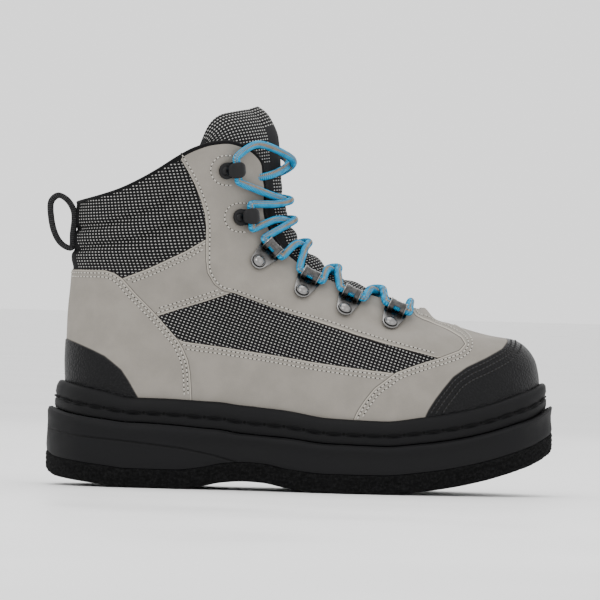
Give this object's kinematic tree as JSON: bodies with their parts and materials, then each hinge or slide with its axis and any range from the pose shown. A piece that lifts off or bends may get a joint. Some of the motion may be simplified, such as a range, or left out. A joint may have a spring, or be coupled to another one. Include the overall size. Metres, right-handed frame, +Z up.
{
  "type": "wading boot",
  "caption": "Felt-soled wading boot, right foot: gray leather and black mesh upper, black toe cap and counter, thick layered sole, laced through metal rings and hooks.",
  "frame": {"origin": "centre of the heel's tread, flat on the ground", "axes": "+X towards the toe, +Y towards the boot's inner side, +Z up"},
  "size_m": [0.2905, 0.1138, 0.2173],
  "materials": {
    "felt": "matte",
    "rubber": "matte",
    "gray_leather": "matte",
    "black_leather": "satin",
    "lining": "matte",
    "gunmetal": "satin",
    "black_metal": "matte",
    "lace": "matte",
    "webbing": "matte"
  },
  "bodies": {
    "root": {"felt_sole": "felt", "midsole": "rubber", "cupsole": "rubber", "insole": "lining", "upper": "gray_leather", "tongue": "lining", "toe_cap": "black_leather", "heel_counter": "black_leather", "eyestay_outer": "gray_leather", "eyestay_inner": "gray_leather", "lace_ring_outer_1": "gunmetal", "lace_ring_outer_2": "gunmetal", "lace_ring_outer_3": "gunmetal", "lace_ring_outer_4": "gunmetal", "lace_ring_inner_1": "gunmetal", "lace_ring_inner_2": "gunmetal", "lace_ring_inner_3": "gunmetal", "lace_ring_inner_4": "gunmetal", "hook_outer_1": "black_metal", "hook_outer_2": "black_metal", "hook_inner_1": "black_metal", "hook_inner_2": "black_metal", "lace_cross_1": "lace", "lace_cross_2": "lace", "lace_cross_3": "lace", "lace_cross_4": "lace", "lace_cross_5": "lace", "lace_top": "lace", "lace_bar": "lace", "pull_loop": "webbing"}
  },
  "joints": []
}
